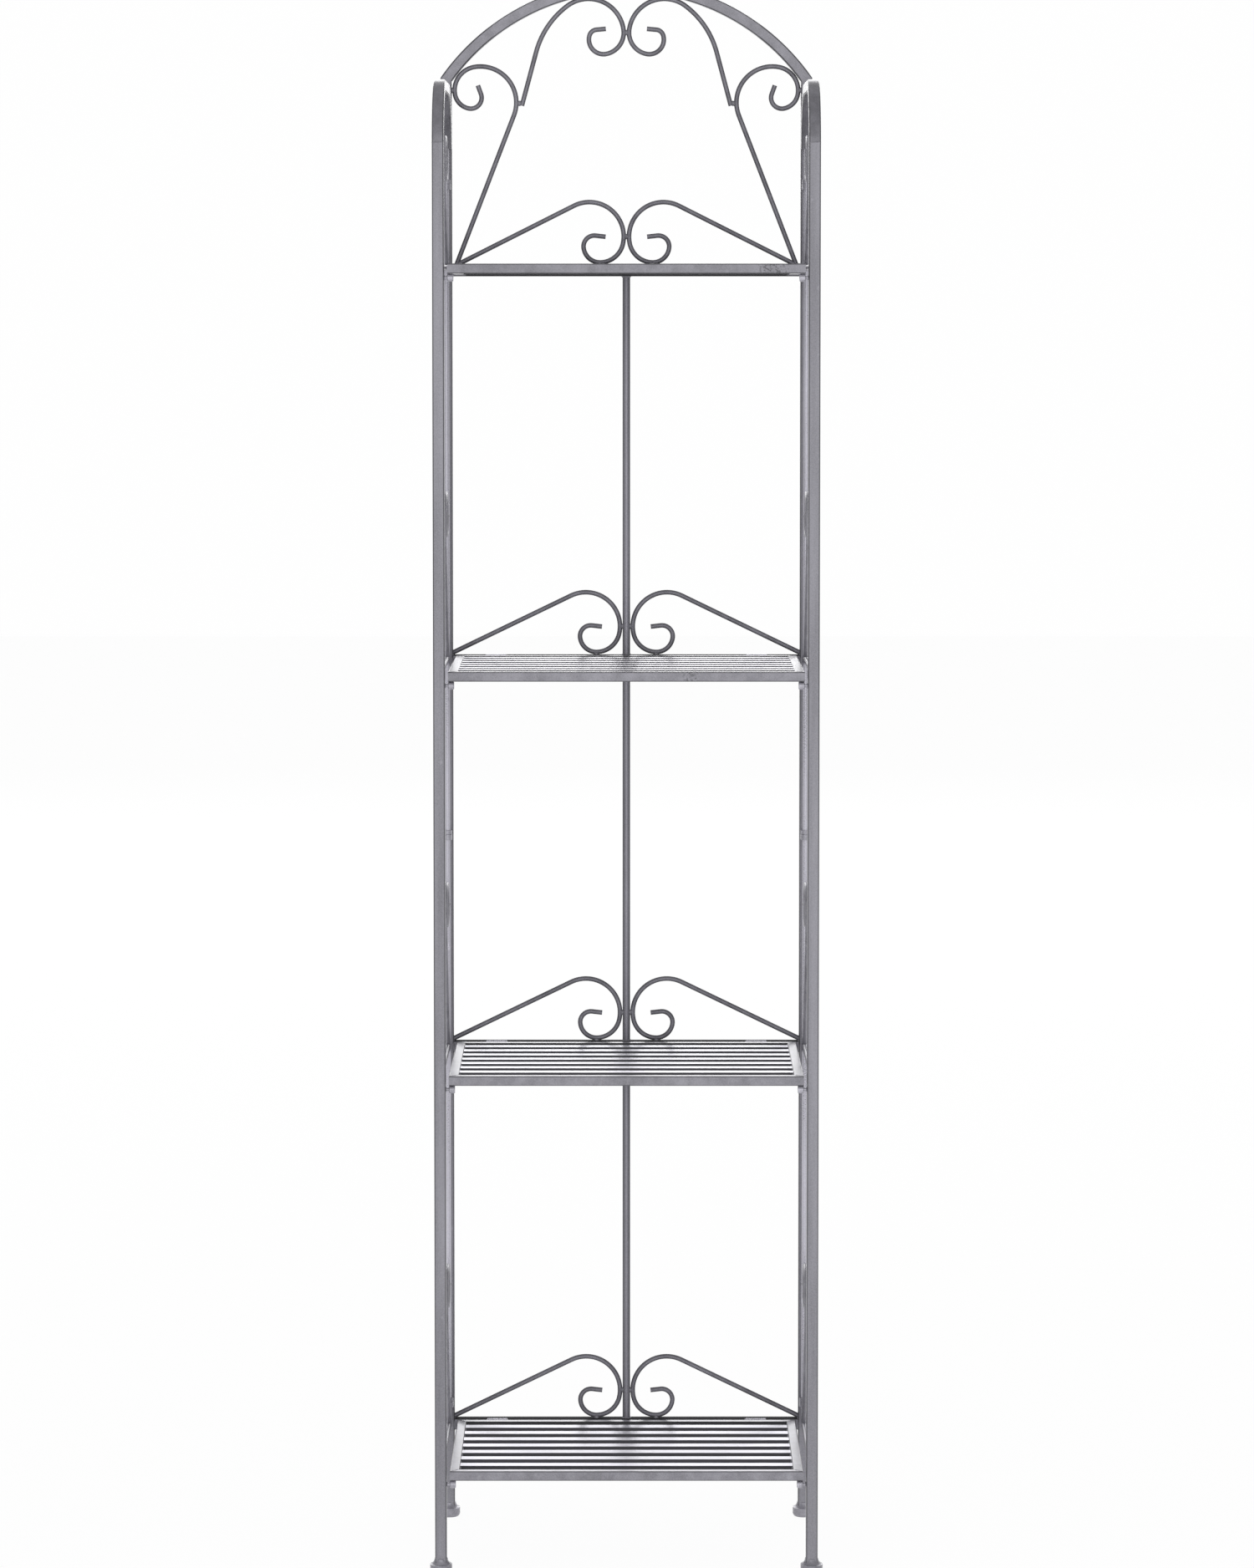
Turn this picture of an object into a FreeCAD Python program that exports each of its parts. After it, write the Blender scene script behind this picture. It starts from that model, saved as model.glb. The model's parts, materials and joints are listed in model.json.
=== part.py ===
# Folding metal shelving unit: an arched back panel, two side frames that hang on it from
# vertical hinge rods, and four slatted shelves that lift up against the back panel.
# Millimetres. +X is to the viewer's right, the front looks towards -Y, and +Z is up.
# The origin is on the floor, under the middle of the unit.
import FreeCAD, Part
import math
import os

from FreeCAD import Vector

# Overall sizes: the uprights' places, and the arch's top above the top shelf and above its ends
upright_x = 191.0
upright_y = 120.0
arch_top_rise = 300.6
arch_rise = 102.5

# Tubes and rods
frame_tube_width = 12.0
frame_wall = 1.0
frame_corner = 1.5
scroll_rod_diameter = 5.0
centre_rod_diameter = 8.0
side_rod_diameter = 6.0
overrun = 48.0

# Shelf levels, measured at the top face of each shelf
lowest_level = 107.0
lower_pitch = 410.0
upper_pitch = 415.2
upper_count = 2

# Shelves
side_gap = 3.0
front_inset = 1.0
rear_gap = 4.2
rail_tube_width = 10.0
rail_wall = 1.0
rail_corner = 1.2
slat_count = 7
slat_width = 15.0
slat_height = 5.0
slat_wall = 1.0
slat_corner = 1.2

# Shelf hinges, which lie in the gap behind the shelf and stand a little above its top face
shelf_hinge_x = 139.0
knuckle_radius = 1.8
hinge_stand_out = 0.9
knuckle_length = 10.0
outer_knuckle_length = 5.5
knuckle_gap = 0.3
hinge_pin_radius = 0.9
running_clearance = 0.1
pin_stand_out = 0.8

# Pegs under the front corners of the shelves
peg_neck_radius = 1.7
peg_neck_length = 3.2
peg_head_radius = 4.0
peg_head_length = 6.2
peg_head_round = 0.8
peg_clearance = 0.3

# Feet
foot_radius = 11.4
foot_base_radius = 9.6
foot_neck_radius = 6.9
foot_height = 15.5
foot_shoulder = 9.6
foot_widest = 4.6
foot_floor = 3.0

# Side frames
seam_rise = 122.6
side_bend = 60.0
swing_clearance = 0.5
plug_height = 6.0
eye_radius = 5.0
eye_height = 6.0
low_eye_rise = 18.0
middle_eye_rise = 221.0
top_eye_drop = 40.0
collar_radius = 5.0
collar_height = 4.0
collar_clearance = 0.3

# Scrolls: each arc turns about its own centre up to an end angle, and hands over to a tighter one
touch_gap = 0.3
weld_radius = 3.0
bar_lead_length = 4.0
scroll_root_inset = 4.3
scroll_root_rise = 2.3
scroll_radii = (36.5, 25.0, 17.5, 11.5)
scroll_ends = (-12.3, -90.0, -175.2, -276.5)
scroll_tail = 10.8
curl_radii = (38.0, 25.0, 18.5, 11.5)
curl_ends = (100.9, 188.7, 258.7, 380.0)
curl_tail = 9.7
side_curl_rise = 149.0
top_curl_drop = 14.0
crown_heading = 75.0
crown_foot_rise = 8.0
crown_lead_radius = 90.0
crown_radii = (37.5, 23.0, 15.5, 8.5)
crown_ends = (7.6, -77.9, -196.0, -265.0)
crown_tail = 10.0

# Half a square's diagonal, as a share of its side
diagonal_share = math.sqrt(0.5)

# Places that follow from the sizes above
half_tube = frame_tube_width / 2
inner_x = upright_x - half_tube
panel_front = upright_y - half_tube
levels = [lowest_level + lower_pitch + upper_pitch * k for k in range(upper_count, -1, -1)] + [lowest_level]
top_level = levels[0]
overall_height = top_level + arch_top_rise
rod_y = panel_front - frame_tube_width * diagonal_share - swing_clearance
shelf_half = inner_x - side_gap
shelf_front = -upright_y - half_tube + front_inset
shelf_rear = panel_front - rear_gap
hinge_y = panel_front - rear_gap / 2
hinge_drop = knuckle_radius - hinge_stand_out
bar = scroll_rod_diameter / 2
arch_outer = ((inner_x + frame_tube_width) ** 2 + arch_rise ** 2) / (2 * arch_rise)
arch_radius = arch_outer - half_tube
arch_z = overall_height - arch_outer
arch_angle = math.asin(upright_x / arch_radius)
corner_z = arch_z + arch_radius * math.cos(arch_angle)
side_seam = top_level + seam_rise
eye_levels = [lowest_level + low_eye_rise, levels[-2] + middle_eye_rise, side_seam - top_eye_drop]

X, Y, Z = Vector(1, 0, 0), Vector(0, 1, 0), Vector(0, 0, 1)


def save(name, *shapes):
    solids = [solid for shape in shapes for solid in shape.Solids]
    group = solids[0] if len(solids) == 1 else Part.makeCompound(solids)
    group.exportStep("parts/" + name + ".step")
    print(name, len(solids), "solids", round(sum(s.Volume for s in solids)), "mm3")


def mirrored(shape):
    return shape.mirror(Vector(0, 0, 0), X)


def largest(shape):
    return max(shape.Solids, key=lambda solid: solid.Volume)


def polar(centre, radius, degrees):
    angle = math.radians(degrees)
    return (centre[0] + radius * math.cos(angle), centre[1] + radius * math.sin(angle))


def rounded_outline(width, height, corner):
    """A rectangle with round corners about the origin, in the XY plane."""
    w, h = width / 2 - corner, height / 2 - corner
    slant = corner * diagonal_share
    edges = []
    for sx, sy in ((1, 1), (-1, 1), (-1, -1), (1, -1)):
        side = Vector(sx * (w + corner), sy * h)
        top = Vector(sx * w, sy * (h + corner))
        middle = Vector(sx * (w + slant), sy * (h + slant))
        first, last = (side, top) if sx == sy else (top, side)
        if edges:
            edges.append(Part.LineSegment(previous, first).toShape())
        else:
            opening = first
        edges.append(Part.Arc(first, middle, last).toShape())
        previous = last
    edges.append(Part.LineSegment(previous, opening).toShape())
    return Part.Wire(edges)


def tube_section(width, height, wall, corner):
    outside = Part.Face(rounded_outline(width, height, corner))
    inside = Part.Face(rounded_outline(width - 2 * wall, height - 2 * wall, corner - wall / 2))
    return outside.cut(inside).Faces[0]


def extruded(section, start, direction, length):
    """A section drawn in the XY plane, set square to a direction and drawn out along it."""
    face = section.copy()
    face.rotate(Vector(0, 0, 0), Y, 90 if direction.x else 0)
    face.rotate(Vector(0, 0, 0), X, -90 if direction.y else 0)
    face.translate(start)
    return face.extrude(direction * length)


def half_space(point, normal, size):
    """A block that fills the side of a plane that its normal points to."""
    block = Part.makeBox(size, size, size, Vector(-size / 2, -size / 2, 0))
    block.Placement = FreeCAD.Placement(point, FreeCAD.Rotation(Z, normal))
    return block


def rod_between(start, end, diameter):
    return Part.makeCylinder(diameter / 2, (end - start).Length, start, end - start)


def scroll_edges(start, heading, length, centre, radii, ends, tail):
    """A straight bar, arcs that hand over to each other, and a straight tail, in the XZ plane."""
    turn = 1 if ends[-1] > ends[0] else -1
    points = [start, polar(start, length, heading)]
    edges = [Part.LineSegment(*[Vector(p[0], 0, p[1]) for p in points]).toShape()]
    angle = heading - 90 * turn
    for radius, end, following in zip(radii, ends, radii[1:] + radii[-1:]):
        trio = [polar(centre, radius, a) for a in (angle, (angle + end) / 2, end)]
        edges.append(Part.Arc(*[Vector(p[0], 0, p[1]) for p in trio]).toShape())
        centre = polar(centre, radius - following, end)
        angle = end
    tip = polar(trio[-1], tail, angle + 90 * turn)
    edges.append(Part.LineSegment(Vector(trio[-1][0], 0, trio[-1][1]), Vector(tip[0], 0, tip[1])).toShape())
    return edges


def swept_rod(edges, heading):
    """A round rod bent along the edges of a path that starts at a heading."""
    start = edges[0].Vertexes[0].Point
    tangent = Vector(math.cos(math.radians(heading)), 0, math.sin(math.radians(heading)))
    ring = Part.Wire(Part.Circle(start, tangent, bar).toShape())
    solid = Part.Wire(edges).makePipeShell([ring], True, False)
    length = sum(edge.Length for edge in edges)
    share = solid.Volume / (math.pi * bar ** 2 * length)
    print("  rod length", round(length, 1), "volume share", round(share, 4))
    return solid


def rooted_scroll(root, centre, radii, ends, tail):
    """A scroll whose straight bar leaves a root point and runs tangent onto its first arc."""
    turn = 1 if ends[-1] > ends[0] else -1
    reach = math.hypot(centre[0] - root[0], centre[1] - root[1])
    bearing = math.degrees(math.atan2(centre[1] - root[1], centre[0] - root[0]))
    heading = bearing - turn * math.degrees(math.asin(radii[0] / reach))
    start = polar(root, -bar_lead_length, heading)
    length = bar_lead_length + math.sqrt(reach ** 2 - radii[0] ** 2)
    return swept_rod(scroll_edges(start, heading, length, centre, radii, ends, tail), heading)


def weld_bead(place, bearing, neighbours):
    """A bead of weld in the XZ plane, in the notch between two pieces that lie along a bearing."""
    across = polar((0, 0), 1, bearing)
    ball = Part.makeSphere(weld_radius, Vector(place[0], 0, place[1]), Vector(across[0], 0, across[1]))
    return ball.cut(neighbours)


def low_scroll(half_tie, level):
    """Left scroll of a crossbar, in the XZ plane, with its beads at the middle and on the bar."""
    second = (0, level + touch_gap + bar + scroll_radii[1])
    eye_x = -half_tie - touch_gap - bar - scroll_radii[0]
    hand_over = polar((0, 0), scroll_radii[0] - scroll_radii[1], scroll_ends[0])
    eye = (eye_x, second[1] - hand_over[1])
    root = (-inner_x, level + scroll_root_rise) if half_tie else (scroll_root_inset - inner_x, level)
    scroll = rooted_scroll(root, eye, scroll_radii, scroll_ends, scroll_tail)
    rod = rod_between(Vector(0, 0, level), Vector(0, 0, level + overrun), centre_rod_diameter)
    middle = rod if half_tie else mirrored(scroll)
    tie = weld_bead((-half_tie - touch_gap / 2, eye[1]), 0, [scroll, middle])
    seat = (eye_x + hand_over[0], level + touch_gap / 2)
    bar_top = half_space(Vector(seat[0], 0, level), -Z, overrun)
    seat = weld_bead(seat, 90, [scroll, bar_top])
    scroll = scroll.cut(half_space(Vector(root[0], 0, level), -Z, overrun))
    scroll = largest(scroll.cut(half_space(Vector(-inner_x, 0, level), -X, overrun)))
    return scroll, tie, seat


def side_curl(wall_x, level, touch_z, wall):
    """Left curl that leans away from a wall at its left and winds back to touch it, and its bead."""
    second_x = wall_x + touch_gap + bar + curl_radii[1]
    hand_over = polar((0, 0), curl_radii[0] - curl_radii[1], curl_ends[0])
    eye = (second_x - hand_over[0], touch_z - hand_over[1])
    curl = rooted_scroll((wall_x + scroll_root_inset, level), eye, curl_radii, curl_ends, curl_tail)
    return curl, eye, weld_bead((wall_x + touch_gap / 2, touch_z), 0, [curl, wall])


def top_curl_touch():
    """Height at which a curl of the top bay touches the upright, when it touches the arch too."""
    second_x = -inner_x + touch_gap + bar + curl_radii[1]
    reach = arch_radius - half_tube - touch_gap - bar - curl_radii[1]
    return arch_z + math.sqrt(reach ** 2 - second_x ** 2)


def crown_scroll(curl, curl_eye):
    """Left upper scroll: it leaves the side curl, sweeps up under the arch and curls at the middle."""
    lead_radius, first = crown_lead_radius, crown_radii[0]
    start = polar(curl_eye, curl_radii[0] + scroll_rod_diameter + touch_gap, crown_heading - 90)
    hand_over = polar((0, 0), first - crown_radii[1], crown_ends[0])
    eye_x = -touch_gap - bar - crown_radii[1] - hand_over[0]
    reach = arch_radius - half_tube - touch_gap - bar - first
    eye = (eye_x, arch_z + math.sqrt(reach ** 2 - eye_x ** 2))
    offset = polar(start, lead_radius, crown_heading - 90)
    away = (eye[0] - offset[0], eye[1] - offset[1])
    along = polar((0, 0), 1, crown_heading)
    run = away[0] * along[0] + away[1] * along[1]
    rest = away[0] ** 2 + away[1] ** 2 - (lead_radius - first) ** 2
    length = run - math.sqrt(run ** 2 - rest)
    lead_centre = polar(offset, length, crown_heading)
    lead_end = math.degrees(math.atan2(eye[1] - lead_centre[1], eye[0] - lead_centre[0]))
    foot = polar(start, crown_foot_rise, crown_heading)
    edges = scroll_edges(foot, crown_heading, length - crown_foot_rise, lead_centre,
                         (lead_radius,) + crown_radii, (lead_end,) + crown_ends, crown_tail)
    crown = swept_rod(edges, crown_heading)
    arch_bearing = math.degrees(math.atan2(eye[1] - arch_z, eye[0]))
    arch_touch = polar((0, arch_z), arch_radius - half_tube - touch_gap / 2, arch_bearing)
    seat = polar(foot, bar, crown_heading)
    seat_bearing = math.degrees(math.atan2(seat[1] - curl_eye[1], seat[0] - curl_eye[0]))
    seat_reach = math.hypot(seat[0] - curl_eye[0], seat[1] - curl_eye[1])
    curl_touch = polar(curl_eye, (seat_reach + curl_radii[0]) / 2, seat_bearing)
    beads = [weld_bead(arch_touch, arch_bearing, [crown, arch_ring()]),
             weld_bead(curl_touch, seat_bearing, [crown, curl]),
             weld_bead((0, eye[1] + hand_over[1]), 0, [crown, mirrored(crown)])]
    return crown, beads


def arch_ring():
    """The ring that the arch is part of, filled, in the XZ plane."""
    base = Vector(0, -half_tube, arch_z)
    outside = Part.makeCylinder(arch_radius + half_tube, frame_tube_width, base, Y)
    return outside.cut(Part.makeCylinder(arch_radius - half_tube, frame_tube_width, base, Y))


def back_upright():
    """Left upright of the back panel, mitred to the arch at its top."""
    section = tube_section(frame_tube_width, frame_tube_width, frame_wall, frame_corner)
    height = corner_z + frame_tube_width - foot_floor
    tube = extruded(section, Vector(-upright_x, upright_y, foot_floor), Z, height)
    return tube.cut(mitre_block(1))


def mitre_block(side):
    """The space above (side 1) or below (side -1) the mitre at the arch's left corner."""
    normal = Vector(math.cos(arch_angle), 0, 1 + math.sin(arch_angle)) * side
    return half_space(Vector(-upright_x, upright_y, corner_z), normal, overrun)


def back_arch():
    section = tube_section(frame_tube_width, frame_tube_width, frame_wall, frame_corner)
    section.rotate(Vector(0, 0, 0), Y, 90)
    section.translate(Vector(0, upright_y, arch_z + arch_radius))
    spread = math.degrees(arch_angle + frame_tube_width / arch_radius)
    centre = Vector(0, upright_y, arch_z)
    section.rotate(centre, Y, spread)
    arch = section.revolve(centre, Y, -2 * spread)
    below = mitre_block(-1)
    return arch.cut(below).cut(mirrored(below))


def crossbar(level):
    section = tube_section(frame_tube_width, frame_tube_width, frame_wall, frame_corner)
    return extruded(section, Vector(-inner_x, upright_y, level - half_tube), X, 2 * inner_x)


def foot(x, y):
    """A round foot that the square tube stands in: a dome that widens to a bead at the floor."""
    neck, shoulder = Vector(foot_neck_radius, 0, foot_height), Vector(foot_radius, 0, foot_shoulder)
    widest, base = Vector(foot_radius, 0, foot_widest), Vector(foot_base_radius, 0, 0)
    middle_radius, middle_height = (foot_neck_radius + foot_radius) / 2, (foot_height + foot_shoulder) / 2
    hollow = Vector(middle_radius - frame_wall, 0, middle_height - frame_wall)
    bulge = Vector(foot_radius - frame_wall / 2, 0, foot_widest / 3)
    edges = [Part.LineSegment(Vector(0, 0, 0), base), Part.Arc(base, bulge, widest),
             Part.LineSegment(widest, shoulder), Part.Arc(shoulder, hollow, neck),
             Part.LineSegment(neck, Vector(0, 0, foot_height)),
             Part.LineSegment(Vector(0, 0, foot_height), Vector(0, 0, 0))]
    solid = Part.Face(Part.Wire([edge.toShape() for edge in edges])).revolve(Vector(0, 0, 0), Z, 360)
    outline = rounded_outline(frame_tube_width, frame_tube_width, frame_corner)
    socket = Part.Face(outline).extrude(Z * foot_height)
    socket.translate(Z * foot_floor)
    solid = largest(solid.cut(socket))
    solid.translate(Vector(x, y, 0))
    return solid


def side_eyes():
    """Eyes on the front of the left back upright, which the hinge rod turns in."""
    eyes = []
    for height in eye_levels:
        base = Vector(-upright_x, rod_y, height - eye_height / 2)
        arm = Part.makeBox(2 * eye_radius, panel_front - rod_y, eye_height, base - X * eye_radius)
        eye = Part.makeCylinder(eye_radius, eye_height, base).fuse(arm).removeSplitter()
        eyes.append(eye.cut(Part.makeCylinder(side_rod_diameter / 2 + running_clearance, eye_height, base)))
    return eyes


def hinge_rod():
    base = lowest_level - side_rod_diameter
    return Part.makeCylinder(side_rod_diameter / 2, side_seam - base, Vector(-upright_x, rod_y, base))


def collars():
    """Collars welded to the hinge rod, which carry the side frame on its eyes."""
    rings = []
    for height in eye_levels:
        base = Vector(-upright_x, rod_y, height + eye_height / 2 + collar_clearance)
        ring = Part.makeCylinder(collar_radius, collar_height, base)
        rings.append(ring.cut(Part.makeCylinder(side_rod_diameter / 2, collar_height, base)))
    return rings


def front_upright():
    section = tube_section(frame_tube_width, frame_tube_width, frame_wall, frame_corner)
    return extruded(section, Vector(-upright_x, -upright_y, foot_floor), Z, side_seam - foot_floor)


def side_arch():
    """The bent tube over the left side frame, from the front upright back to the hinge rod."""
    section = tube_section(frame_tube_width, frame_tube_width, frame_wall, frame_corner)
    section.translate(Vector(-upright_x, -upright_y, side_seam))
    front_centre = Vector(-upright_x, side_bend - upright_y, side_seam)
    rear_centre = Vector(-upright_x, rod_y - side_bend, side_seam)
    front = section.revolve(front_centre, X, -90)
    section.rotate(front_centre, X, -90)
    run = section.extrude(rear_centre - front_centre)
    section.translate(rear_centre - front_centre)
    rear = section.revolve(rear_centre, X, -90)
    return front.fuse([run, rear]).removeSplitter()


def end_plug():
    """A plug in the rear end of the side arch, which the hinge rod is welded to."""
    bore = frame_tube_width - 2 * frame_wall
    face = Part.Face(rounded_outline(bore, bore, frame_corner - frame_wall / 2))
    face.translate(Vector(-upright_x, rod_y, side_seam))
    bend_centre = Vector(-upright_x, rod_y - side_bend, side_seam)
    return face.revolve(bend_centre, X, math.degrees(plug_height / side_bend))


def side_crossbars():
    rod = hinge_rod()
    bars = []
    for level in levels:
        axis = level - side_rod_diameter / 2
        front = Vector(-upright_x, -upright_y + half_tube, axis)
        rear = Vector(-upright_x, rod_y - side_rod_diameter / 4, axis)
        bars.append(largest(rod_between(front, rear, side_rod_diameter).cut(rod)))
    return bars


def side_scrolls():
    """A pair of curls in each bay of the left side frame, one on the hinge rod and one on the upright."""
    scrolls, beads = [], []
    for level in levels:
        touch_z = side_seam - top_curl_drop if level == top_level else level + side_curl_rise
        rod = rod_between(Vector(0, 0, level - overrun), Vector(0, 0, touch_z + overrun), side_rod_diameter)
        post = half_space(Vector(0, 0, level), -X, overall_height)
        axis = Vector(0, 0, level - side_rod_diameter / 2)
        side_bar = rod_between(axis, axis + X * overrun, side_rod_diameter)
        for wall_x, wall, at_front in ((side_rod_diameter / 2, rod, False), (0, post, True)):
            curl, eye, bead = side_curl(wall_x, level, touch_z, wall)
            scrolls.append(in_side_frame(largest(curl.cut([side_bar, wall])), at_front))
            beads.append(in_side_frame(bead, at_front))
    return scrolls, beads


def in_side_frame(shape, at_front):
    """Moves a shape drawn in the XZ plane, against a wall at its left, into the left side frame."""
    if at_front:
        shape = mirrored(shape)
        shape.translate(X * (rod_y + upright_y - half_tube))
    shape.rotate(Vector(0, 0, 0), Z, -90)
    shape.translate(Vector(-upright_x, rod_y, 0))
    return shape


def pegs():
    """Headed pegs on the inner face of the left front upright, one under each shelf corner."""
    pieces = []
    for level in levels:
        centre = Vector(-inner_x, -upright_y, level - rail_tube_width - peg_clearance - peg_head_radius)
        neck = Part.makeCylinder(peg_neck_radius, peg_neck_length, centre, X)
        head = Part.makeCylinder(peg_head_radius, peg_head_length, centre + X * peg_neck_length, X)
        rims = [edge for edge in head.Edges if isinstance(edge.Curve, Part.Circle)]
        head = head.makeFillet(peg_head_round, rims)
        pieces.append(neck.fuse(head))
    return pieces


def shelf_frame(level):
    """Front, rear and side rails of a shelf, mitred at the corners."""
    half = rail_tube_width / 2
    section = tube_section(rail_tube_width, rail_tube_width, rail_wall, rail_corner)
    left, right, z = -shelf_half, shelf_half, level - half
    corners = {(x, y): Vector(x - math.copysign(half, x), y, z)
               for x in (left, right) for y in (shelf_front + half, shelf_rear - half)}
    front = extruded(section, Vector(left, shelf_front + half, z), X, right - left)
    rear = extruded(section, Vector(left, shelf_rear - half, z), X, right - left)
    side_l = extruded(section, Vector(left + half, shelf_front, z), Y, shelf_rear - shelf_front)
    side_r = extruded(section, Vector(right - half, shelf_front, z), Y, shelf_rear - shelf_front)
    middle_y = (shelf_front + shelf_rear) / 2
    rails = []
    for rail, along_x in ((front, True), (rear, True), (side_l, False), (side_r, False)):
        for (x, y), corner in corners.items():
            outward = Vector(math.copysign(1, x), -math.copysign(1, y - middle_y), 0)
            block = half_space(corner, outward if along_x else -outward, overrun)
            if rail.BoundBox.intersect(block.BoundBox):
                rail = rail.cut(block)
        rails.append(largest(rail))
    return rails


def slats(level):
    section = tube_section(slat_height, slat_width, slat_wall, slat_corner)
    inner_front, inner_rear = shelf_front + rail_tube_width, shelf_rear - rail_tube_width
    gap = (inner_rear - inner_front - slat_count * slat_width) / (slat_count + 1)
    pitch = slat_width + gap
    first = inner_front + gap + slat_width / 2
    start = -shelf_half + rail_tube_width
    return [extruded(section, Vector(start, first + pitch * k, level - slat_height / 2), X, -2 * start)
            for k in range(slat_count)]


def knuckle(x, length, level, bore, foot_side):
    """One knuckle of a shelf hinge: a ring with a foot on the face of the piece that carries it."""
    centre = Vector(x - length / 2, hinge_y, level - hinge_drop)
    ring = Part.makeCylinder(knuckle_radius, length, centre, X)
    depth, height = rear_gap / 2, knuckle_radius + knuckle_radius
    near = -depth if foot_side < 0 else 0
    block = Part.makeBox(length, depth, height, centre + Y * near - Z * height)
    return ring.fuse(block).removeSplitter().cut(Part.makeCylinder(bore, length, centre, X))


def shelf_knuckles(level):
    """The outer knuckles, which turn with the shelf."""
    bore = hinge_pin_radius + running_clearance
    offset = knuckle_length / 2 + knuckle_gap + outer_knuckle_length / 2
    return [knuckle(side * shelf_hinge_x + step * offset, outer_knuckle_length, level, bore, -1)
            for side in (-1, 1) for step in (-1, 1)]


def crossbar_knuckles(level):
    """The middle knuckles, which sit on the crossbar's front."""
    return [knuckle(side * shelf_hinge_x, knuckle_length, level, hinge_pin_radius, 1) for side in (-1, 1)]


def shelf_pins(level):
    length = knuckle_length + 2 * (knuckle_gap + outer_knuckle_length + pin_stand_out)
    return [Part.makeCylinder(hinge_pin_radius, length,
                              Vector(side * shelf_hinge_x - length / 2, hinge_y, level - hinge_drop), X)
            for side in (-1, 1)]


def in_panel(shape):
    """Moves a shape drawn in the XZ plane into the back panel."""
    shape.translate(Y * upright_y)
    return shape


def build_back_panel():
    upright = back_upright()
    save("back_upright_left", upright)
    save("back_upright_right", mirrored(upright))
    save("back_arch", back_arch())
    for number, level in enumerate(levels, 1):
        save("back_crossbar_%d" % number, crossbar(level))
    for number, (above, below) in enumerate(zip(levels, levels[1:]), 1):
        start, end = Vector(0, upright_y, below), Vector(0, upright_y, above - frame_tube_width)
        save("back_centre_rod_%d" % number, rod_between(start, end, centre_rod_diameter))
    build_back_scrolls()
    eyes = side_eyes()
    save("side_hinge_eyes_left", *eyes)
    save("side_hinge_eyes_right", *[mirrored(eye) for eye in eyes])
    save("back_foot_left", foot(-upright_x, upright_y))
    save("back_foot_right", foot(upright_x, upright_y))
    for number, level in enumerate(levels, 1):
        save("crossbar_hinge_knuckles_%d" % number, *crossbar_knuckles(level))
    save("shelf_hinge_pins", *[pin for level in levels for pin in shelf_pins(level)])


def build_back_scrolls():
    wall = half_space(Vector(-inner_x, 0, top_level), -X, overall_height)
    curl, curl_eye, wall_bead = side_curl(-inner_x, top_level, top_curl_touch(), wall)
    crown, (arch_bead, curl_bead, middle_bead) = crown_scroll(curl, curl_eye)
    curl = largest(curl.cut(half_space(Vector(-inner_x, 0, top_level), -Z, overrun)))
    beads = [wall_bead, arch_bead, curl_bead]
    beads += [mirrored(bead) for bead in beads] + [middle_bead]
    for number, level in enumerate(levels, 1):
        top = level == top_level
        scroll, tie, seat = low_scroll(0 if top else centre_rod_diameter / 2, level)
        if top:
            scroll = largest(scroll.cut(curl))
        beads += [tie, seat, mirrored(seat)] + ([] if top else [mirrored(tie)])
        save("back_scrolls_%d" % number, in_panel(scroll), mirrored(scroll))
    save("top_side_curls", in_panel(curl), mirrored(curl))
    save("top_crown_scrolls", in_panel(crown), mirrored(crown))
    save("back_weld_beads", *[in_panel(bead) for bead in beads])


def build_side_frames():
    rod = hinge_rod()
    bars = side_crossbars()
    scrolls, beads = side_scrolls()
    pieces = {"front_upright": [front_upright()], "top_arch": [side_arch()], "end_plug": [end_plug()],
              "hinge_rod": [rod], "hinge_collars": collars(), "crossbars": bars, "scrolls": scrolls,
              "weld_beads": beads, "shelf_pegs": pegs(), "front_foot": [foot(-upright_x, -upright_y)]}
    for name, shapes in pieces.items():
        save("left_" + name, *shapes)
        save("right_" + name, *[mirrored(shape) for shape in shapes])


def build_shelves():
    for number, level in enumerate(levels, 1):
        save("shelf_%d_frame" % number, *shelf_frame(level))
        save("shelf_%d_slats" % number, *slats(level))
        save("shelf_%d_hinge_knuckles" % number, *shelf_knuckles(level))


os.makedirs("parts", exist_ok=True)
build_back_panel()
build_side_frames()
build_shelves()
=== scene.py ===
# %% [markdown]
# # A folding metal shelving unit
# A tall rack of thin steel tube: an arched back panel with scrollwork, two side frames that hang on it from
# vertical hinge rods, and four slatted shelves that lift up against it. The CAD model already holds every
# tube and rod at its true size, so this lesson doesn't model them again. It loads them, paints them, adds the
# small weld beads between them, and stands them in a photo studio.

# %% Load the CAD model
import json
import math

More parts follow.
